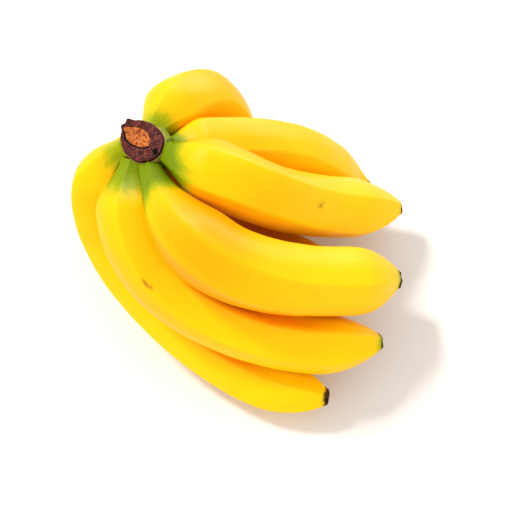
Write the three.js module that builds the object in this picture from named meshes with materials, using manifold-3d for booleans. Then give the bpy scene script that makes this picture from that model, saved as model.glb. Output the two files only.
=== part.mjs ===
// A cut hand of seven bananas, lying on a level surface with its crown uppermost.
// Millimetres, +Z up. +X runs from the crown towards the blossom ends. Six fingers
// are numbered from the far side (+Y) to the near side (-Y), and the seventh lies
// in the lower row, under the third and fourth.

import * as THREE from 'three';
import { mergeVertices } from 'three/addons/utils/BufferGeometryUtils.js';
import Module from 'manifold-3d';

// Crown: the dried cushion where the hand was cut off.
const CROWN_DIAMETER = 24;
const CROWN_DEPTH = 22;
const CROWN_LOBE = 0.05; // height of its five corners, as a share of its radius
const CROWN_TILT_LEFT = 0.20; // radians, lean of the cut face towards -X
const CROWN_TILT_NEAR = 0.15; // radians, lean of the cut face towards -Y

// Every finger: neck, taper and blossom end, along its centre line.
const NECK_DIAMETER = 12;
const NECK_LENGTH = 2;
const TAPER_LENGTH = 38;
const TAPER_BLUNTNESS = 0.95; // 0.5 rounds the end off like an ellipse, 1 more like a cone
const TIP_DIAMETER = 10;
const TIP_LENGTH = 2;
const TIP_BEVEL = 0.6;
const RIDGE_COUNT = 5;
const RIDGE_HEIGHT = 0.03; // share of the radius at each of the five ridges

// How far each neck's centre line starts inside the crown's rim.
const ROOT_INSET = 4;

// Where two pieces meet, the one that gives way stays this far off the other.
const CLEARANCE = 0.3;

// How far the hand is drawn out along each axis; 1 is a hand of ordinary size.
const STRETCH_LONG = 1;
const STRETCH_WIDE = 1;
const STRETCH_HIGH = 1;

// Fineness of the surfaces.
const STEPS_AROUND = 20;
const STEPS_ALONG = 26;
const CROWN_STEPS = 14;
const WELD_DISTANCE = 1e-4; // points closer than this along a seam are one point

// One entry per finger. compass is the direction in which the neck leaves the
// crown, in degrees from +X, and drop is how far below the cut face it leaves.
// shoulder is the length over which the neck widens into the body. leave and
// approach are the handles that set the bend, and end is the blossom end, all
// measured from the middle of the cut face.
const FINGERS = [
  {
    name: 'banana_1',
    girth: 34,
    compass: 76,
    drop: 10,
    shoulder: 26,
    leave: [35, 67, -29],
    approach: [56, 45, -67],
    end: [40, -23, -103.6],
  },
  {
    name: 'banana_2',
    girth: 33,
    compass: 6,
    drop: 14,
    shoulder: 22,
    leave: [103, 26, -43],
    approach: [90, 23, -96],
    end: [125, 21, -102.2],
  },
  {
    name: 'banana_3',
    girth: 34,
    compass: -5,
    drop: 9,
    shoulder: 33,
    leave: [70, -42, 23],
    approach: [73, -13, -63],
    end: [140, 0, -83],
  },
  {
    name: 'banana_4',
    girth: 38,
    compass: -70,
    drop: 10,
    shoulder: 60,
    leave: [28, -105, 21],
    approach: [101, -49, -64],
    end: [137, -49, -72],
  },
  {
    name: 'banana_5',
    girth: 33,
    compass: -123,
    drop: 10,
    shoulder: 24,
    leave: [-23, -62, -33],
    approach: [46, -99, -60],
    end: [126, -82, -79],
  },
  {
    name: 'banana_6',
    girth: 32,
    compass: 167,
    drop: 10,
    shoulder: 28,
    leave: [-60, -9, -56],
    approach: [25, -95, -109],
    end: [97, -111, -87],
  },
  {
    name: 'banana_7',
    girth: 30,
    compass: -44,
    drop: 18,
    shoulder: 26,
    leave: [-9, 3, -65],
    approach: [68, -45, -64],
    end: [103, -30, -96],
  },
];

// Where two fingers press together, the one later in this order gives way.
const FIRMNESS = [
  'banana_4',
  'banana_3',
  'banana_5',
  'banana_2',
  'banana_6',
  'banana_1',
  'banana_7',
];

const PEEL = new THREE.MeshStandardMaterial({ color: 0xf7c80f, roughness: 0.45, metalness: 0 });
const RIND = new THREE.MeshStandardMaterial({ color: 0x6b3427, roughness: 0.85, metalness: 0 });

const wasm = await Module();
wasm.setup();

function toSolid(geometry) {
  geometry.deleteAttribute('normal');
  geometry.deleteAttribute('uv');
  const merged = mergeVertices(geometry, WELD_DISTANCE);
  const mesh = new wasm.Mesh({
    numProp: 3,
    vertProperties: new Float32Array(merged.attributes.position.array),
    triVerts: new Uint32Array(merged.index.array),
  });
  mesh.merge();
  return new wasm.Manifold(mesh);
}

function toGeometry(solid) {
  const mesh = solid.getMesh();
  const geometry = new THREE.BufferGeometry();
  geometry.setAttribute('position', new THREE.BufferAttribute(mesh.vertProperties, 3));
  geometry.setIndex(new THREE.BufferAttribute(mesh.triVerts, 1));
  geometry.computeVertexNormals();
  return geometry;
}

// The centre line of a finger, from inside the crown to its blossom end.
function centreLine(finger) {
  const compass = THREE.MathUtils.degToRad(finger.compass);
  const ring = CROWN_DIAMETER / 2 - ROOT_INSET;
  const root = new THREE.Vector3(
    ring * Math.cos(compass),
    ring * Math.sin(compass),
    -finger.drop,
  );
  const stretch = new THREE.Vector3(STRETCH_LONG, STRETCH_WIDE, STRETCH_HIGH);
  const leave = new THREE.Vector3(...finger.leave).multiply(stretch);
  const approach = new THREE.Vector3(...finger.approach).multiply(stretch);
  const end = new THREE.Vector3(...finger.end).multiply(stretch);
  return new THREE.CubicBezierCurve3(root, leave, approach, end);
}

// Half the thickness of a finger at a distance along its centre line.
function halfThickness(finger, along, length) {
  const neck = NECK_DIAMETER / 2;
  const full = finger.girth / 2;
  const tip = TIP_DIAMETER / 2;
  const shoulder = THREE.MathUtils.smoothstep(along, NECK_LENGTH, NECK_LENGTH + finger.shoulder);
  const toTip = THREE.MathUtils.clamp((length - TIP_LENGTH - along) / TAPER_LENGTH, 0, 1);
  const rounding = (1 - (1 - toTip) ** 2) ** TAPER_BLUNTNESS;
  return Math.min(neck + (full - neck) * shoulder, tip + (full - tip) * rounding);
}

// The straight outline that is turned about the centre line, root first.
// swell makes it larger all round by that much.
function fingerOutline(finger, length, swell) {
  const outline = [new THREE.Vector2(0, -swell)];
  const bodyEnd = length - TIP_LENGTH;
  for (let step = 0; step <= STEPS_ALONG; step += 1) {
    const along = (bodyEnd * step) / STEPS_ALONG;
    const offset = step === 0 ? -swell : 0;
    outline.push(new THREE.Vector2(halfThickness(finger, along, length) + swell, along + offset));
  }
  const tip = TIP_DIAMETER / 2 + swell;
  outline.push(new THREE.Vector2(tip, length - TIP_BEVEL));
  outline.push(new THREE.Vector2(tip - TIP_BEVEL, length + swell));
  outline.push(new THREE.Vector2(0, length + swell));
  return outline;
}

// A straight turned finger, given its five ridges and bent along its centre line.
function fingerSolid(finger, swell) {
  const curve = centreLine(finger);
  const length = curve.getLength();
  const geometry = new THREE.LatheGeometry(fingerOutline(finger, length, swell), STEPS_AROUND);
  const bendAxis = new THREE.Vector3().subVectors(curve.v1, curve.v0);
  bendAxis.cross(new THREE.Vector3().subVectors(curve.v3, curve.v1)).normalize();
  const position = geometry.attributes.position;
  for (let index = 0; index < position.count; index += 1) {
    const along = position.getY(index);
    const share = THREE.MathUtils.clamp(along / length, 0, 1);
    const tangent = curve.getTangentAt(share);
    const inward = new THREE.Vector3().crossVectors(bendAxis, tangent).normalize();
    const sideways = new THREE.Vector3().crossVectors(tangent, inward);
    const angle = Math.atan2(position.getX(index), position.getZ(index));
    const spread = Math.hypot(position.getX(index), position.getZ(index));
    const ridged = spread * (1 + RIDGE_HEIGHT * Math.cos(RIDGE_COUNT * angle));
    const point = curve.getPointAt(share);
    point.addScaledVector(tangent, along - share * length);
    point.addScaledVector(inward, -ridged * Math.cos(angle));
    point.addScaledVector(sideways, -ridged * Math.sin(angle));
    position.setXYZ(index, point.x, point.y, point.z);
  }
  return toSolid(geometry);
}

// The crown's outline from the middle of its dished cut face, over the rim and
// down its flank to the underside, as shares of its radius and depth.
const CROWN_OUTLINE = [
  [0, 0.05],
  [0.5, 0.04],
  [0.86, 0],
  [0.98, 0.08],
  [1, 0.25],
  [0.97, 0.5],
  [0.86, 0.74],
  [0.6, 0.92],
  [0, 1],
];

function crownSolid(swell) {
  const radius = CROWN_DIAMETER / 2 + swell;
  const depth = CROWN_DEPTH + 2 * swell;
  const curve = new THREE.SplineCurve(
    CROWN_OUTLINE.map(([out, down]) => new THREE.Vector2(out * radius, swell - down * depth)),
  );
  const outline = curve.getPoints(CROWN_STEPS);
  outline[0].x = 0;
  outline[outline.length - 1].x = 0;
  outline.reverse();
  const geometry = new THREE.LatheGeometry(outline, STEPS_AROUND);
  const position = geometry.attributes.position;
  for (let index = 0; index < position.count; index += 1) {
    const angle = Math.atan2(position.getX(index), position.getZ(index));
    const lobe = 1 + CROWN_LOBE * (Math.cos(RIDGE_COUNT * angle) - 1);
    position.setX(index, position.getX(index) * lobe);
    position.setZ(index, position.getZ(index) * lobe);
  }
  geometry.rotateX(Math.PI / 2 + CROWN_TILT_NEAR);
  geometry.rotateY(-CROWN_TILT_LEFT);
  return toSolid(geometry);
}

function namedMesh(name, solid, material) {
  const mesh = new THREE.Mesh(toGeometry(solid), material.clone());
  mesh.name = name;
  return mesh;
}

// Each finger is cut back from the crown and from every firmer finger.
function buildHand() {
  const group = new THREE.Group();
  group.add(namedMesh('crown', crownSolid(0), RIND));
  const swollenCrown = crownSolid(CLEARANCE);
  for (const finger of FINGERS) {
    let solid = fingerSolid(finger, 0).subtract(swollenCrown);
    const firmer = FIRMNESS.slice(0, FIRMNESS.indexOf(finger.name));
    for (const other of FINGERS.filter((each) => firmer.includes(each.name))) {
      solid = solid.subtract(fingerSolid(other, CLEARANCE));
    }
    group.add(namedMesh(finger.name, solid, PEEL));
  }
  return group;
}

// The origin is on the surface that the hand lies on, under the middle of its box.
const hand = buildHand();
const box = new THREE.Box3().setFromObject(hand);
const middle = box.getCenter(new THREE.Vector3());
hand.position.set(-middle.x, -middle.y, -box.min.z);

export default hand;
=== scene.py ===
"""A cut hand of seven ripe bananas, lying on a pale floor with its crown uppermost."""

import math

import bpy
import numpy as np
from mathutils import Matrix, Vector


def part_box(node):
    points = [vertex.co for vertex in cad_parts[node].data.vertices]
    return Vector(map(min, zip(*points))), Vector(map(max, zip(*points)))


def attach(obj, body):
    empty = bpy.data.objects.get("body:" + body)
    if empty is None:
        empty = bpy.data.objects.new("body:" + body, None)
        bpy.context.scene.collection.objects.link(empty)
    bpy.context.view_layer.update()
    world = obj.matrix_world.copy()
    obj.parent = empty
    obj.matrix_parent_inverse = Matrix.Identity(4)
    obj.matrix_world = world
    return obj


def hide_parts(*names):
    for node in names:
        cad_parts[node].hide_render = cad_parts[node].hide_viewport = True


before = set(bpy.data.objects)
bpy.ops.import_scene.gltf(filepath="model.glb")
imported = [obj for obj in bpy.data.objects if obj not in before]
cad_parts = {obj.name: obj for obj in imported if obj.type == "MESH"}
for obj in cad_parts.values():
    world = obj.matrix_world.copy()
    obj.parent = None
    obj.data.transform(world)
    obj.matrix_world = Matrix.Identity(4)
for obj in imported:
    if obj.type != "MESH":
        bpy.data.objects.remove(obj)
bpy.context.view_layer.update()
# The middle of the crown's cut face, from the low corner of the crown's box.
cut_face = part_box("crown")[0] + Vector((0.0105685, 0.0113757, 0.0215265))


# ---------------------------------------------------------------------------
# Bananas
# Seven ripe fingers with a waxy yellow peel, green at the neck and dark at the
# blossom end. They grew as one piece with the crown and bend round each other.
# ---------------------------------------------------------------------------
def plug(item, slot):
    """Links a Value to a node's slot, or sets the slot to a number, vector or colour."""
    if isinstance(item, Value):
        item.tree.links.new(item.socket, slot)
    else:
        slot.default_value = item


class Value:
    """A socket of a node tree that does arithmetic with other Values and numbers."""

    def __init__(self, tree, socket):
        self.tree = tree
        self.socket = socket

    def math(self, operation, *others):
        """A Math node of this value and the others, each a Value or a number."""
        made = self.tree.nodes.new("ShaderNodeMath")
        made.operation = operation
        for item, slot in zip((self, *others), made.inputs):
            plug(item, slot)
        return Value(self.tree, made.outputs[0])

    def __add__(self, other):
        return self.math("ADD", other)

    def __radd__(self, other):
        return self.math("ADD", other)

    def __sub__(self, other):
        return self.math("SUBTRACT", other)

    def __rsub__(self, other):
        return self.math("MULTIPLY", -1.0).math("ADD", other)

    def __mul__(self, other):
        return self.math("MULTIPLY", other)

    def __rmul__(self, other):
        return self.math("MULTIPLY", other)

    def rise(self, start, end):
        """0 below start, 1 above end and smooth between; end may be the lower."""
        made = self.tree.nodes.new("ShaderNodeMapRange")
        made.interpolation_type = "SMOOTHSTEP"
        rising = start < end
        plug(self, made.inputs["Value"])
        plug(min(start, end), made.inputs["From Min"])
        plug(max(start, end), made.inputs["From Max"])
        plug(0.0 if rising else 1.0, made.inputs["To Min"])
        plug(1.0 if rising else 0.0, made.inputs["To Max"])
        return Value(self.tree, made.outputs["Result"])


class Skin:
    """A material built from nodes, with one Principled shader."""

    def __init__(self, name, specular):
        self.material = bpy.data.materials.new(name)
        self.material.use_nodes = True
        self.tree = self.material.node_tree
        self.shader = self.tree.nodes["Principled BSDF"]
        plug(specular, self.shader.inputs["Specular IOR Level"])

    def node(self, kind, out, settings=(), inputs=()):
        """Any node: its type, its output, its settings, and its inputs by name or number."""
        made = self.tree.nodes.new("ShaderNode" + kind)
        for name, value in dict(settings).items():
            setattr(made, name, value)
        for key, item in dict(inputs).items():
            plug(item, made.inputs[key])
        return Value(self.tree, made.outputs[out])

    def attribute(self, name, out="Fac"):
        """A number, or with out "Vector" a vector, stored on the mesh."""
        return self.node("Attribute", out, {"attribute_name": name})

    def mix(self, share, under, over):
        """The colour under, with share of the colour over laid on it."""
        colours = [item if isinstance(item, Value) else (*item, 1.0) for item in (under, over)]
        inputs = {0: share, 6: colours[0], 7: colours[1]}
        return self.node("Mix", 2, {"data_type": "RGBA"}, inputs)

    def noise(self, where, scale, detail=3.0, rough=0.55):
        """Smooth noise about 0.5, with features one over scale metres wide."""
        inputs = {"Vector": where, "Scale": scale, "Detail": detail, "Roughness": rough}
        return self.node("TexNoise", "Fac", (), inputs)

    def cells(self, where, scale):
        """The distance to the middle of the nearest of many scattered cells."""
        return self.node("TexVoronoi", "Distance", (), {"Vector": where, "Scale": scale})

    def along_grain(self, where, share):
        """The place with its third coordinate shrunk, which draws noise out that way."""
        inputs = {0: where, 1: (1.0, 1.0, share)}
        return self.node("VectorMath", "Vector", {"operation": "MULTIPLY"}, inputs)

    def finish(self, colour, rough, height, distance):
        """Wires the colour, the roughness and the height as a bump of that many metres."""
        inputs = {"Height": height, "Distance": distance, "Strength": 1.0}
        bump = self.node("Bump", "Normal", (), inputs)
        plug(colour, self.shader.inputs["Base Color"])
        plug(rough, self.shader.inputs["Roughness"])
        plug(bump, self.shader.inputs["Normal"])
        return self.material


def smooth(start, end, x):
    """0 below start, 1 above end: t*t*(3 - 2t) between them."""
    t = np.clip((x - start) / (end - start), 0.0, 1.0)
    return t * t * (3.0 - 2.0 * t)


def apart(theta, degrees):
    """The angle from degrees to theta in radians, between -pi and pi."""
    return np.mod(theta - math.radians(degrees) + np.pi, 2.0 * np.pi) - np.pi


def waves(seed, *coordinates):
    """A smooth random field of about unit size: the sum of eight sine waves."""
    random = np.random.default_rng(seed)
    total = 0.0
    for _ in range(8):
        phase = random.uniform(0.0, 2.0 * np.pi)
        for coordinate in coordinates:
            phase = phase + random.uniform(-1.0, 1.0) * coordinate
        total = total + np.sin(phase)
    return total / 2.0


def surface(name, points, attributes, material):
    """A closed object from a grid of points, rows by steps around.

    The grid closes on itself around, and the first and last rows are each
    closed by one point at their mean. Each attribute holds one number, or three,
    for every grid point.
    """
    rows, around = points.shape[:2]
    count = rows * around
    poles = np.stack([points[0].mean(0), points[-1].mean(0)])
    vertices = np.concatenate([points.reshape(-1, 3), poles])
    row, step = np.meshgrid(np.arange(rows - 1), np.arange(around), indexing="ij")
    a = row * around + step
    b = row * around + (step + 1) % around
    quads = np.stack([a, b, b + around, a + around], -1).reshape(-1, 4)
    ring = np.arange(around)
    turn = (ring + 1) % around
    last = (rows - 1) * around
    start = np.stack([turn, ring, np.full(around, count)], -1)
    end = np.stack([last + ring, last + turn, np.full(around, count + 1)], -1)
    corners = np.concatenate([quads.ravel(), start.ravel(), end.ravel()])
    totals = np.concatenate([np.full(len(quads), 4), np.full(2 * around, 3)])
    mesh = bpy.data.meshes.new(name)
    mesh.vertices.add(len(vertices))
    mesh.vertices.foreach_set("co", vertices.astype(np.float32).ravel())
    mesh.loops.add(len(corners))
    mesh.loops.foreach_set("vertex_index", corners.astype(np.int32))
    mesh.polygons.add(len(totals))
    starts = np.concatenate([[0], np.cumsum(totals)[:-1]])
    mesh.polygons.foreach_set("loop_start", starts.astype(np.int32))
    mesh.polygons.foreach_set("use_smooth", np.ones(len(totals), bool))
    mesh.update(calc_edges=True)
    mesh.validate()
    for key, grid in attributes.items():
        wide = grid.ndim == 3
        flat = grid.reshape(count, -1)
        ends = np.stack([flat[:around].mean(0), flat[-around:].mean(0)])
        values = np.concatenate([flat, ends]).astype(np.float32)
        layer = mesh.attributes.new(key, "FLOAT_VECTOR" if wide else "FLOAT", "POINT")
        layer.data.foreach_set("vector" if wide else "value", values.ravel())
    mesh.materials.append(material)
    made = bpy.data.objects.new(name, mesh)
    bpy.context.scene.collection.objects.link(made)
    return made


def peel_material():
    """Waxy yellow peel: green at the neck, brown at the blossom end, freckled.

    straight is the finger unbent (across, across, along), along and left are the
    distances from the neck and to the blossom end, all in metres. green and olive
    are the strengths of the green at the neck and at the blossom end, and crease
    is 1 on the ridges, which are painted paler as a highlight. painted_shade is
    painted shade: it deepens the yellow up to 1 and darkens it to russet brown up
    to 2. mark is the depth of the scuffs and scratches. The yellow is also painted
    paler away from the neck, as painted light on the far ends.
    """
    skin = Skin("peel", 0.06)
    straight = skin.attribute("straight", "Vector")
    along = skin.attribute("along")
    left = skin.attribute("left")
    green = skin.attribute("green")
    mark = skin.attribute("mark")
    crease = skin.attribute("crease")
    painted_shade = skin.attribute("painted_shade")
    broad = skin.noise(straight, 28.0, 2.0)
    mottle = skin.noise(straight, 160.0, 3.0)
    fibre = skin.noise(skin.along_grain(straight, 0.04), 900.0, 3.0, 0.6)
    streak = skin.noise(skin.along_grain(straight, 0.07), 260.0, 3.0, 0.6)
    pores = skin.noise(straight, 1400.0, 2.0)
    colour = skin.mix(broad.rise(0.35, 0.68), (0.98, 0.45, 0.0015), (0.98, 0.50, 0.002))
    # Painted light: the yellow is paler further from the neck, brightening the fingers' far
    # ends.
    colour = skin.mix(along.rise(0.045, 0.125) * 0.8, colour, (0.98, 0.58, 0.002))
    # Painted shade: deeper yellow, then russet brown, in the shade patches.
    colour = skin.mix(painted_shade.rise(0.0, 1.0), colour, (0.96, 0.33, 0.001))
    colour = skin.mix(painted_shade.rise(1.0, 2.0) * 0.9, colour, (0.42, 0.085, 0.002))
    colour = skin.mix(mottle.rise(0.5, 0.8) * 0.25, colour, (0.97, 0.42, 0.002))
    # Painted highlight: the ridges are paler, as if catching the light.
    colour = skin.mix(crease * 0.16, colour, (0.98, 0.62, 0.008))
    edge = green + (streak - 0.5) * 0.3 * green.rise(0.0, 0.3)
    colour = skin.mix(edge.rise(0.02, 0.55), colour, (0.42, 0.44, 0.003))
    colour = skin.mix(edge.rise(0.14, 0.78), colour, (0.145, 0.205, 0.0015))
    ragged = left + 0.0004 + (streak - 0.5) * 0.004 + (mottle - 0.5) * 0.002
    olive = skin.attribute("olive") * (0.7 + 0.6 * streak)
    colour = skin.mix(olive.rise(0.0, 0.75), colour, (0.34, 0.38, 0.004))
    colour = skin.mix(olive.rise(0.45, 1.0), colour, (0.06, 0.075, 0.003))
    end_tint = skin.mix(mottle.rise(0.35, 0.65), (0.030, 0.011, 0.005), (0.105, 0.042, 0.012))
    colour = skin.mix(ragged.rise(0.0019, 0.0006), colour, end_tint)
    patchy = skin.noise(straight, 55.0, 1.0)
    freckle = skin.cells(straight, 230.0).rise(0.085, 0.03) * patchy.rise(0.56, 0.70)
    colour = skin.mix(freckle * 0.55, colour, (0.30, 0.13, 0.012))
    scuff = mark * (0.55 + 0.9 * (pores - 0.2)).math("MINIMUM", 1.0)
    colour = skin.mix(scuff, colour, (0.20, 0.085, 0.012))
    height = fibre * 0.5 + pores * 0.18 + streak * 0.6 - mark * 0.9 - freckle * 0.3
    rough = 0.27 + mottle * 0.14 + mark * 0.3 + ragged.rise(0.003, 0.001) * 0.45
    return skin.finish(colour, rough, height, 0.00022)


def banana(
    name,
    girth,
    compass,
    drop,
    shoulder,
    leave,
    approach,
    end,
    ridges,
    seed,
    greenness,
    side,
    tip_green,
    turned=0.0,
    painted_shade=(),
    marks=(),
):
    """One finger. Its surface at (along, around) is
    centre line + r * (cos(around) * outward + sin(around) * sideways), where
    r is the CAD outline times a rounded five-sided section, then the blossom
    end's collar, ragged rim and sunken face.

    The first seven sizes are the CAD finger's, in metres and degrees. ridges are
    the angles of the five ridges round the finger, from its outer side. greenness
    is the reach and strength of the green at the neck, side is the angle where it
    is strongest, tip_green is the strength at the blossom end and turned is how
    far the dark of the end face stays off the rim. painted_shade lists patches of
    painted shade (along, length, angle, spread, depth), and marks lists scuffs
    (along, angle, length, width, depth).
    """
    rows, around, face_rows = 230, 160, 13
    neck, tip, tip_length, taper, bluntness = 0.006, 0.005, 0.0008, 0.0385, 0.95
    inset = 0.008
    turn = math.radians(compass)
    root = (inset * math.cos(turn), inset * math.sin(turn), -drop)
    handles = np.array([root, leave, approach, end])
    u = np.linspace(0.0, 1.0, 4000)[:, None]
    weights = np.concatenate([(1 - u) ** 3, 3 * u * (1 - u) ** 2, 3 * u * u * (1 - u), u**3], 1)
    line = weights @ handles
    run = np.concatenate([[0.0], np.cumsum(np.linalg.norm(np.diff(line, axis=0), axis=1))])
    length = run[-1]

    # Rows are closer together at the neck and the blossom end.
    share = np.linspace(0.0, 1.0, rows)
    share = share - 0.11 * np.sin(2.0 * np.pi * share) / np.pi
    along = share * length
    theta = np.linspace(0.0, 2.0 * np.pi, around, endpoint=False)
    A, T = np.meshgrid(along, theta, indexing="ij")
    to_tip = np.clip((length - tip_length - A) / taper, 0.0, 1.0)
    body = neck + (girth / 2 - neck) * smooth(0.002, 0.002 + shoulder, A)
    ending = tip + (girth / 2 - tip) * (1.0 - (1.0 - to_tip) ** 2) ** bluntness
    merge = 0.0004
    radius = -merge * np.log(np.exp(-body / merge) + np.exp(-ending / merge))

    # The section: five flat faces between ridges, rounded where they meet, with
    # 1/r = (sum of cos(angle to each face) ** n) ** (1/n).
    fifth = 2.0 * np.pi / 5.0
    corners = np.radians(np.sort(np.mod(ridges, 360.0)))
    first = corners[0]
    places = np.concatenate([corners, [first + 2.0 * np.pi]])
    twisted = np.mod(T - first + 0.10 * np.sin(A / length * 4.0 + seed), 2.0 * np.pi) + first
    even = np.interp(twisted, places, np.arange(6) * fifth)
    within = np.mod(even, fifth) - fifth / 2
    sharpness, flatness = 32.0, 0.68
    faces = [np.clip(np.cos(within - k * fifth), 0.0, 1.0) ** sharpness for k in (-1, 0, 1)]
    section = sum(faces) ** (-1.0 / sharpness)
    rim = length - A
    flatness = flatness * (1.0 - 0.35 * smooth(0.0, 0.03, rim) * smooth(0.0, 0.02, A))
    section = 1.0 + flatness * (section - 1.06)
    ridge_line = smooth(0.99, 1.07, section)
    swell = waves(seed, A * 90.0, 2.0 * np.cos(T), 2.0 * np.sin(T)) * smooth(0.0, 0.02, rim)
    dimples = waves(seed + 7, A * 400.0, 5.0 * np.cos(T), 5.0 * np.sin(T))
    radius = radius * section + 0.00022 * swell + 0.00006 * dimples

    # A slight waist just before the blossom end, then its rounded rim.
    waist = np.exp(-(((rim - 0.0026) / 0.0012) ** 2))
    radius = radius - 0.0002 * waist - 0.0005 * np.exp(-rim / 0.0005)

    # The ragged, sunken face of the blossom end, from the rim to its middle.
    inner = np.linspace(0.0, 1.0, face_rows + 2)[1:-1]
    S, TS = np.meshgrid(inner, theta, indexing="ij")
    ragged = 0.0005 * waves(seed + 3, 3.0 * np.cos(TS), 3.0 * np.sin(TS), 0.0)
    face_radius = radius[-1][None, :] * (1.0 - S) ** 0.8
    depth = 0.0013 * smooth(0.0, 0.45, S) - 0.0012 * smooth(0.6, 1.0, S)
    lip = 0.0004 * np.sin(np.pi * np.clip(S * 5.0, 0.0, 1.0))
    face_along = length + ragged * (1.0 - S) - depth + lip
    A = np.concatenate([A, face_along])
    T = np.concatenate([T, TS])
    radius = np.concatenate([radius, face_radius])

    # Bent along the centre line.
    clipped = np.clip(A, 0.0, length)
    centre = np.stack([np.interp(clipped, run, line[:, k]) for k in range(3)], -1)
    slope = np.gradient(line, run, axis=0)
    slope = slope / np.linalg.norm(slope, axis=1)[:, None]
    tangent = np.stack([np.interp(clipped, run, slope[:, k]) for k in range(3)], -1)
    tangent = tangent / np.linalg.norm(tangent, axis=-1)[..., None]
    axis = np.cross(handles[1] - handles[0], handles[3] - handles[1])
    axis = axis / np.linalg.norm(axis)
    inward = np.cross(axis, tangent)
    inward = inward / np.linalg.norm(inward, axis=-1)[..., None]
    sideways = np.cross(tangent, inward)
    out = (radius * np.cos(T))[..., None]
    over = (radius * np.sin(T))[..., None]
    points = centre - inward * out - sideways * over + tangent * (A - clipped)[..., None]
    points = points + np.array(cut_face)

    # Where the green, the scuffs and the ridges are. Each finger's noise is taken
    # from a place of its own, and the end face counts as past the blossom end.
    straight = np.stack([radius * np.cos(T), radius * np.sin(T), A + seed * 0.31], -1)
    left = length - A + turned
    left = left - np.concatenate([np.zeros((rows, around)), np.full(S.shape, 0.004)])
    reach, strength = greenness
    fade = reach * (1.0 + 0.15 * np.sin(2.0 * T + seed) + 0.12 * np.sin(3.0 * T))
    sunny = np.cos(T - math.radians(side))
    past_neck = np.clip(A - 0.005, 0.0, None)
    green = strength * (0.74 + 0.26 * sunny) * np.exp(-((past_neck / fade) ** 2))
    olive = tip_green * (0.6 + 0.4 * sunny) * np.exp(-np.clip(left, 0.0, None) / 0.0035)
    crease = np.concatenate([ridge_line, np.zeros(S.shape)])
    # Patches of painted shade, under the fingers and in the seams between them.
    shade_depth = np.zeros(A.shape)
    for middle, extent, angle, spread, depth in painted_shade:
        spot = ((A - middle) / extent) ** 2 + (apart(T, angle) / spread) ** 2
        shade_depth = np.maximum(shade_depth, depth * np.exp(-spot))
    mark = np.zeros(A.shape)
    for middle, angle, extent, width, depth in marks:
        spot = ((A - middle) / extent) ** 2 + (apart(T, angle) * girth / 2 / width) ** 2
        mark = np.maximum(mark, depth * np.exp(-(spot**1.5)))
    attributes = {
        "straight": straight,
        "along": A,
        "left": left,
        "green": green,
        "olive": olive,
        "crease": crease,
        "painted_shade": shade_depth,
        "mark": mark,
    }
    made = surface(name + "_peel", points, attributes, peel)
    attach(made, "root")
    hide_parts(name)
    return made


peel = peel_material()
banana(
    "banana_1",
    girth=0.034,
    compass=76,
    drop=0.010,
    shoulder=0.026,
    leave=(0.035, 0.067, -0.029),
    approach=(0.056, 0.045, -0.067),
    end=(0.040, -0.023, -0.1036),
    ridges=(82, 150, 222, 296, 8),
    seed=11,
    greenness=(0.0098, 0.50),
    side=48,
    tip_green=0.6,
)
banana(
    "banana_2",
    girth=0.033,
    compass=6,
    drop=0.014,
    shoulder=0.022,
    leave=(0.103, 0.026, -0.043),
    approach=(0.090, 0.023, -0.096),
    end=(0.125, 0.021, -0.1022),
    ridges=(50, 122, 194, 266, 338),
    seed=12,
    greenness=(0.008, 0.8),
    side=340,
    tip_green=0.7,
    turned=0.0010,
)
banana(
    "banana_3",
    girth=0.034,
    compass=-5,
    drop=0.009,
    shoulder=0.033,
    leave=(0.070, -0.042, 0.023),
    approach=(0.073, -0.013, -0.063),
    end=(0.140, 0.0, -0.083),
    ridges=(32, 104, 176, 248, 320),
    seed=13,
    greenness=(0.0170, 1.15),
    side=10,
    tip_green=0.45,
    turned=0.0010,
    marks=(
        (0.0914, 348, 0.0020, 0.0016, 0.75),
        (0.0932, 341, 0.0010, 0.0011, 0.55),
        (0.0890, 352, 0.0012, 0.0008, 0.5),
        (0.0802, 324, 0.0008, 0.0008, 0.3),
        (0.1051, 343, 0.0008, 0.0008, 0.3),
    ),
)
banana(
    "banana_4",
    girth=0.038,
    compass=-70,
    drop=0.010,
    shoulder=0.060,
    leave=(0.028, -0.105, 0.021),
    approach=(0.101, -0.049, -0.064),
    end=(0.137, -0.049, -0.072),
    ridges=(5, 80, 155, 234, 312),
    seed=14,
    greenness=(0.0200, 1.25),
    side=318,
    tip_green=0.85,
    # Painted shade all round a little past the neck, and along the lower side.
    painted_shade=((0.052, 0.028, 0, 9.0, 0.85), (0.125, 0.075, 38, 0.55, 1.4)),
)
banana(
    "banana_5",
    girth=0.033,
    compass=-123,
    drop=0.010,
    shoulder=0.024,
    leave=(-0.023, -0.062, -0.033),
    approach=(0.046, -0.099, -0.060),
    end=(0.126, -0.082, -0.079),
    ridges=(14, 86, 160, 240, 298),
    seed=15,
    greenness=(0.0140, 0.66),
    side=305,
    tip_green=1.1,
    # Painted shade along the lower side and in the seam under banana_4.
    painted_shade=((0.110, 0.080, 46, 0.55, 1.1), (0.095, 0.055, 229, 0.28, 1.8)),
    marks=(
        (0.0610, 299, 0.0030, 0.0009, 1.0),
        (0.0637, 296, 0.0016, 0.0008, 0.8),
    ),
)
banana(
    "banana_6",
    girth=0.032,
    compass=167,
    drop=0.010,
    shoulder=0.028,
    leave=(-0.060, -0.009, -0.056),
    approach=(0.025, -0.095, -0.109),
    end=(0.097, -0.111, -0.087),
    ridges=(20, 92, 164, 234, 306),
    seed=16,
    greenness=(0.0098, 0.46),
    side=280,
    tip_green=0.35,
    # Painted shade in the seam under banana_5.
    painted_shade=((0.115, 0.055, 222, 0.28, 1.8),),
)
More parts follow.
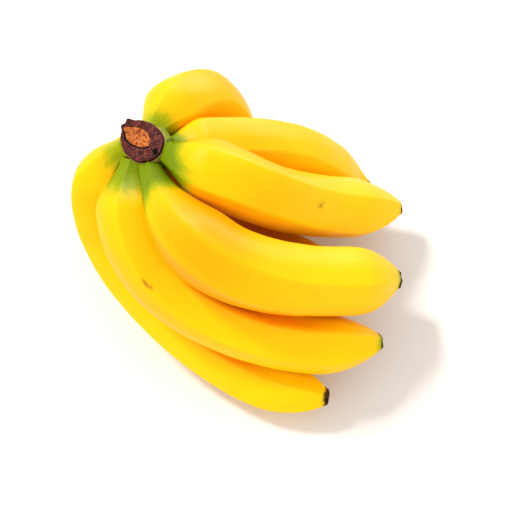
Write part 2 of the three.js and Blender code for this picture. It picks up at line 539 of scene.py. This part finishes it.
banana(
    "banana_7",
    girth=0.030,
    compass=-44,
    drop=0.018,
    shoulder=0.026,
    leave=(-0.009, 0.003, -0.065),
    approach=(0.068, -0.045, -0.064),
    end=(0.103, -0.030, -0.096),
    ridges=(0, 72, 144, 216, 288),
    seed=17,
    greenness=(0.012, 1.0),
    side=0,
    tip_green=0.6,
    # Painted shade over the whole finger, which lies deep between banana_3 and banana_4.
    painted_shade=((0.080, 0.080, 0, 9.0, 2.0),),
)


# ---------------------------------------------------------------------------
# Crown
# The cushion of stalk that joined the hand to its stem. Its cut face has dried
# to a purple-brown rind round a pale crumbly pith, with a torn edge whose step and
# hollow are painted dark as shade.
# ---------------------------------------------------------------------------
def crown_material():
    """Dried rind, orange pith and the green skin under the rim.

    pith is 1 on the crumbly middle of the cut face, dark is 1 in the torn step and
    the hollow, where shade is painted, and on a line along the rim and on the scars,
    and flank is 0 on the face, 1 on the pale collar under the rim and 2 below it.
    """
    skin = Skin("crown_rind", 0.12)
    where = skin.node("TexCoord", "Object")
    pith = skin.attribute("pith")
    dark = skin.attribute("dark")
    flank = skin.attribute("flank")
    grain = skin.noise(where, 1500.0, 4.0, 0.7)
    crumb = skin.noise(where, 620.0, 4.0, 0.8)
    blotch = skin.noise(where, 380.0, 3.0, 0.6)
    rind = skin.mix(blotch.rise(0.35, 0.68), (0.036, 0.007, 0.007), (0.130, 0.024, 0.016))
    speck = skin.cells(where, 950.0).rise(0.42, 0.14) * grain.rise(0.42, 0.56)
    rind = skin.mix(speck * 0.75, rind, (0.40, 0.15, 0.11))
    inner = skin.mix(crumb.rise(0.38, 0.62), (0.24, 0.045, 0.008), (0.66, 0.20, 0.045))
    inner = skin.mix(crumb.rise(0.41, 0.34), inner, (0.06, 0.012, 0.005))
    colour = skin.mix(pith.rise(0.35, 0.65), rind, inner)
    # Painted shade: near black in the torn step and the hollow, and also along the rim and on
    # the scars.
    colour = skin.mix(dark.rise(0.15, 0.85), colour, (0.010, 0.004, 0.003))
    collar = skin.mix(blotch.rise(0.35, 0.7), (0.42, 0.38, 0.05), (0.58, 0.50, 0.14))
    green = skin.mix(blotch.rise(0.3, 0.7), (0.15, 0.22, 0.010), (0.25, 0.33, 0.012))
    side = skin.mix(flank.rise(1.05, 1.35), collar, green)
    colour = skin.mix(flank.rise(0.75, 1.0), colour, side)
    height = crumb * (0.4 + 0.9 * pith) + grain * 0.5
    rough = 0.88 - flank.rise(0.6, 1.0) * 0.35
    return skin.finish(colour, rough, height, 0.0007)


def crown():
    """The crown's surface at (t, around) is middle + out(t) * R(around) across
    the cut face and down(t) below it, with crumbs, a hollow and a notch added.
    out and down run from the middle of the face over the rim to the underside.
    """
    rows, around = 230, 320
    rim_radius, rim_row = 0.0112, 0.553
    lean_near, lean_left = 0.15, 0.20
    t = np.linspace(0.0, 1.0, rows)
    theta = np.linspace(0.0, 2.0 * np.pi, around, endpoint=False)
    S, T = np.meshgrid(t, theta, indexing="ij")
    profile = np.array(
        [
            # t, out as a share of the rim's radius, down in metres
            (0.00, 0.000, 0.0008),
            (0.45, 0.900, 0.0004),
            (0.52, 0.975, 0.0003),
            (0.56, 0.990, 0.0014),
            (0.60, 1.045, 0.0020),
            (0.66, 1.050, 0.0030),
            (0.74, 0.970, 0.0090),
            (0.84, 0.840, 0.0160),
            (0.93, 0.500, 0.0200),
            (1.00, 0.020, 0.0215),
        ]
    )
    window = 13
    kernel = np.hanning(window) / np.hanning(window).sum()
    out = np.interp(t, profile[:, 0], profile[:, 1])
    down = np.interp(t, profile[:, 0], profile[:, 2])
    out = np.pad(out, window // 2, mode="reflect", reflect_type="odd")
    down = np.pad(down, window // 2, mode="edge")
    out = np.clip(np.convolve(out, kernel, "valid"), 0.0, None)[:, None] * np.ones_like(S)
    down = np.convolve(down, kernel, "valid")[:, None] * np.ones_like(S)

    # The rim, seen from above, is a lopsided oval. Below it the green flank
    # spreads between the necks, most on the far side.
    lobes = 0.09 * np.cos(2.0 * (T - 2.35)) + 0.02 * np.cos(3.0 * (T - 0.2))
    reach = rim_radius * (1.0 + lobes + 0.008 * np.sin(7.0 * T + 1.0))
    toward = 0.0
    for angle, spread, much in ((0.72, 0.40, 1.0), (0.22, 0.22, 0.7), (5.62, 0.35, 0.5)):
        toward = toward + much * np.exp(-(((T - angle) / spread) ** 2))
    web = 1.0 + smooth(0.66, 0.78, S) * smooth(1.0, 0.88, S) * (0.06 + 0.34 * toward)
    x = web * out * reach * np.cos(T)
    y = web * out * reach * np.sin(T)
    top = smooth(0.6, 0.5, S)

    # Pith: an ellipse off the middle, with a torn step along its near side, painted dark as
    # shade.
    px, py = x + 0.0022, y - 0.0022
    lengthways = 0.83 * px - 0.56 * py
    across = 0.56 * px + 0.83 * py
    ellipse = np.hypot(lengthways / 0.0072, across / 0.0046)
    oval = ellipse + 0.05 * waves(21, 900.0 * x, 900.0 * y)
    pith = smooth(1.12, 0.92, oval) * top
    lip = np.exp(-(((oval - 1.10) / 0.10) ** 2)) * smooth(0.0005, -0.0022, across) * top
    hole = ((x - 0.0072) / 0.0014) ** 2 + ((y + 0.0068) / 0.0019) ** 2
    notch = np.exp(-(hole**1.5)) * top
    crumbs = waves(5, 2600.0 * x, 2600.0 * y) * waves(6, 1900.0 * x, 1900.0 * y)
    lumps = waves(8, 900.0 * x, 900.0 * y, 500.0 * down)
    z = -down + top * (0.00016 * crumbs * pith + 0.00020 * lumps + 0.0002 * pith)
    z = z - 0.0011 * lip - 0.0016 * notch
    raised = np.exp(-(((out - 0.93) / 0.05) ** 2)) * top
    z = z + 0.00025 * raised * (1.0 + waves(9, 6.0 * np.cos(T), 6.0 * np.sin(T)))

    # Two dried scale scars stand up at the far left edge.
    scars = ((-0.0090, 0.0079, 0.0016, 0.0017), (-0.0061, 0.0104, 0.0018, 0.0018))
    knob = 0.0
    for knob_x, knob_y, high, size in scars:
        knob = knob + high * np.exp(-((x - knob_x) ** 2 + (y - knob_y) ** 2) / size**2)
    spread = 1.0 + knob * 120.0 * smooth(0.75, 0.45, S)
    x = x * spread
    y = y * spread
    z = z + 0.35 * knob * top

    dark_rim_line = 0.9 * np.exp(-(((S - rim_row) / 0.018) ** 2))
    # dark: painted shade in the torn step and the hollow, plus a dark line along the rim and
    # the scars.
    dark = np.clip(1.2 * lip + 1.5 * notch + dark_rim_line, 0.0, 1.0)
    dark = np.maximum(dark, np.clip(knob * 420.0, 0.0, 0.75) * smooth(0.85, 0.6, S))
    flank = smooth(0.572, 0.60, S) + smooth(0.66, 0.78, S)
    tilt = Matrix.Rotation(-lean_left, 3, "Y") @ Matrix.Rotation(lean_near, 3, "X")
    points = np.stack([x, y, z], -1) @ np.array(tilt).T + np.array(cut_face)
    attributes = {"pith": pith, "dark": dark, "flank": flank}
    made = surface("crown_cushion", points, attributes, crown_material())
    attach(made, "root")
    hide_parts("crown")
    return made


crown()


# ---------------------------------------------------------------------------
# Floor, light and camera
# A plain white studio floor, lit by one soft sun from the far left with white
# light all round, and seen from high above the near side.
# ---------------------------------------------------------------------------
def floor():
    """A wide white sheet: the flat grid (x, y, 0), three metres each way."""
    skin = Skin("white_floor", 0.0)
    where = skin.node("TexCoord", "Object")
    grain = skin.noise(where, 6.0, 2.0)
    colour = skin.mix(grain * 0.5, (0.755, 0.716, 0.686), (0.765, 0.726, 0.696))
    material = skin.finish(colour, 0.9, skin.noise(where, 900.0, 2.0), 0.00003)
    lines = 31
    across = np.linspace(-1.5, 1.5, lines)
    X, Y = np.meshgrid(across, across, indexing="ij")
    corners = np.stack([X, Y, np.zeros_like(X)], -1).reshape(-1, 3)
    i, j = np.meshgrid(np.arange(lines - 1), np.arange(lines - 1), indexing="ij")
    a = (i * lines + j).ravel()
    faces = np.stack([a, a + lines, a + lines + 1, a + 1], -1)
    mesh = bpy.data.meshes.new("floor")
    mesh.from_pydata(corners.tolist(), [], faces.tolist())
    mesh.materials.append(material)
    made = bpy.data.objects.new("floor", mesh)
    bpy.context.scene.collection.objects.link(made)
    return made


floor()
sun = bpy.data.lights.new("key", "SUN")
sun.energy = 2.45
sun.angle = math.radians(10.0)
sun.color = (1.0, 0.985, 0.96)
key = bpy.data.objects.new("key", sun)
key.rotation_euler = Vector((-0.53, 0.33, 0.777)).to_track_quat("Z", "Y").to_euler()
bpy.context.scene.collection.objects.link(key)

# Two white cards behind the hand, which show only as sheen on the peel.
for name, energy, size, side in (
    ("high_card", 24.0, 0.7, (0.12, 0.72, 0.69)),
    ("low_card", 9.0, 0.6, (0.52, 0.82, 0.16)),
):
    card = bpy.data.lights.new(name, "AREA")
    card.size = size
    card.energy = energy
    hung = bpy.data.objects.new(name, card)
    hung.location = cut_face + 1.1 * Vector(side)
    hung.rotation_euler = Vector(side).to_track_quat("Z", "Y").to_euler()
    hung.visible_diffuse = False
    bpy.context.scene.collection.objects.link(hung)

world = bpy.data.worlds.new("studio")
world.use_nodes = True
world.node_tree.nodes["Background"].inputs["Color"].default_value = (1.0, 1.0, 1.0, 1.0)
world.node_tree.nodes["Background"].inputs["Strength"].default_value = 1.14
bpy.context.scene.world = world
bpy.context.scene.view_settings.view_transform = "Standard"

target = cut_face + Vector((0.0585, -0.0532, -0.0257))
elevation = math.radians(68.0)
distance = 0.620
lens = bpy.data.cameras.new("camera")
lens.sensor_width = 36.0
lens.lens = 85.0
camera = bpy.data.objects.new("camera", lens)
camera.location = target + distance * Vector((0.0, -math.cos(elevation), math.sin(elevation)))
camera.rotation_euler = (math.pi / 2 - elevation, 0.0, 0.0)
bpy.context.scene.collection.objects.link(camera)
bpy.context.scene.camera = camera
